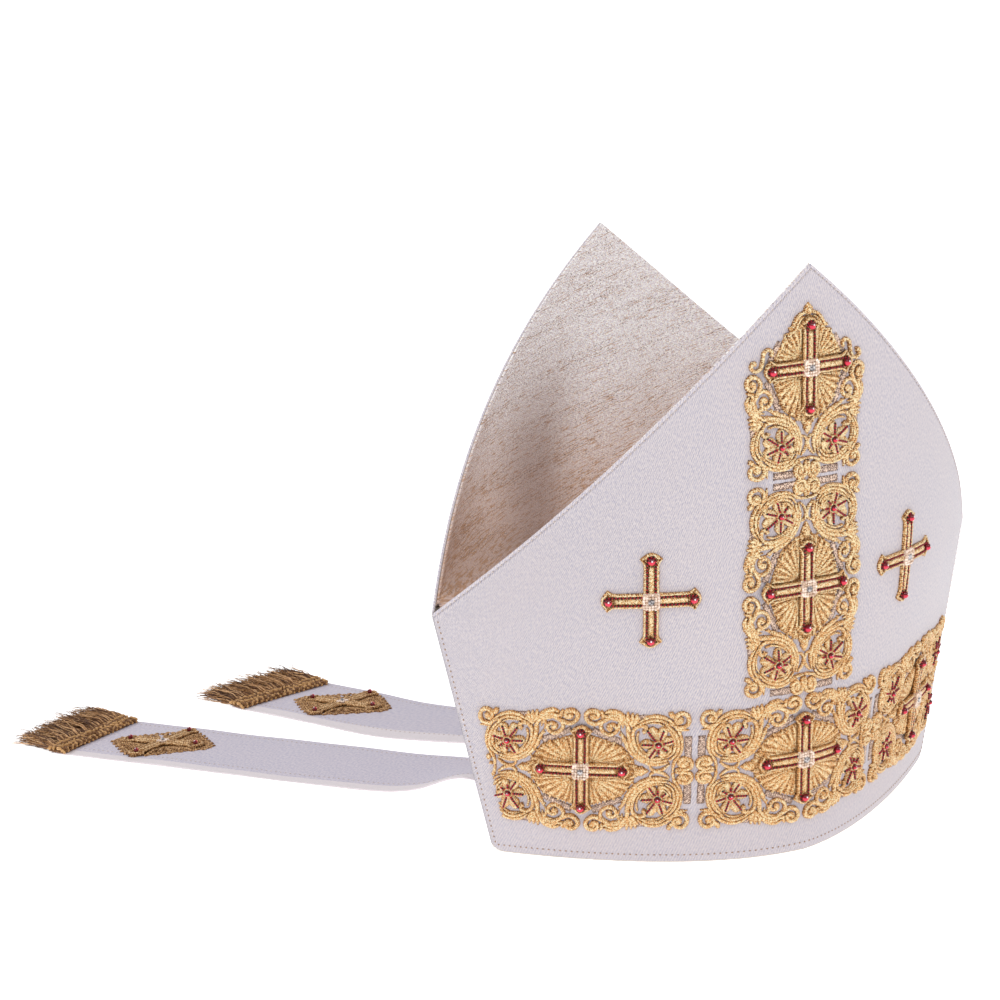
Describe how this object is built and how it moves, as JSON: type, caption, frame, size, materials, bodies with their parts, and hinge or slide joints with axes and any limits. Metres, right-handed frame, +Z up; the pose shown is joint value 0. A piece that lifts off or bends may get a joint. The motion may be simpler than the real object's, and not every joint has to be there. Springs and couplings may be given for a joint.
{
  "type": "bishop mitre",
  "caption": "Bishop's mitre of white satin with gold embroidery, jewelled crosses and a gold-flecked lining, standing open with its two fringed lappets laid out behind.",
  "frame": {"origin": "middle of the footprint, on the ground plane that the rim and the lappets lie on", "axes": "+Z up; the mitre's front faces -Y and the wearer's left is at +X; the lappets run towards +Y"},
  "size_m": [0.4034, 0.418, 0.2796],
  "materials": {
    "cloth": "pearly white satin with a fine twill",
    "lining": "cream brocade flecked with gold lurex",
    "gold": "satin-stitched gold thread",
    "braid": "woven gold braid and fringe",
    "stone": "cut crystal and glass beads"
  },
  "bodies": {
    "root": {"front_panel": "cloth", "back_panel": "cloth", "lappet_left": "cloth", "lappet_right": "cloth", "crown_gusset": "lining", "band_panel_left": "gold", "band_panel_centre": "gold", "band_panel_right": "gold", "column_panel_lower": "gold", "column_panel_upper": "gold", "cross_band_left": "gold", "cross_band_centre": "gold", "cross_band_right": "gold", "cross_column_lower": "gold", "cross_column_upper": "gold", "cross_field_left": "gold", "cross_field_right": "gold", "cross_lappet_left": "gold", "cross_lappet_right": "gold", "medallion_left": "gold", "medallion_right": "gold", "fringe_left": "braid", "fringe_right": "braid", "setting_band_left": "stone", "setting_band_centre": "stone", "setting_band_right": "stone", "setting_column_lower": "stone", "setting_column_upper": "stone", "setting_field_left": "stone", "setting_field_right": "stone", "setting_lappet_left": "stone", "setting_lappet_right": "stone"}
  },
  "joints": []
}
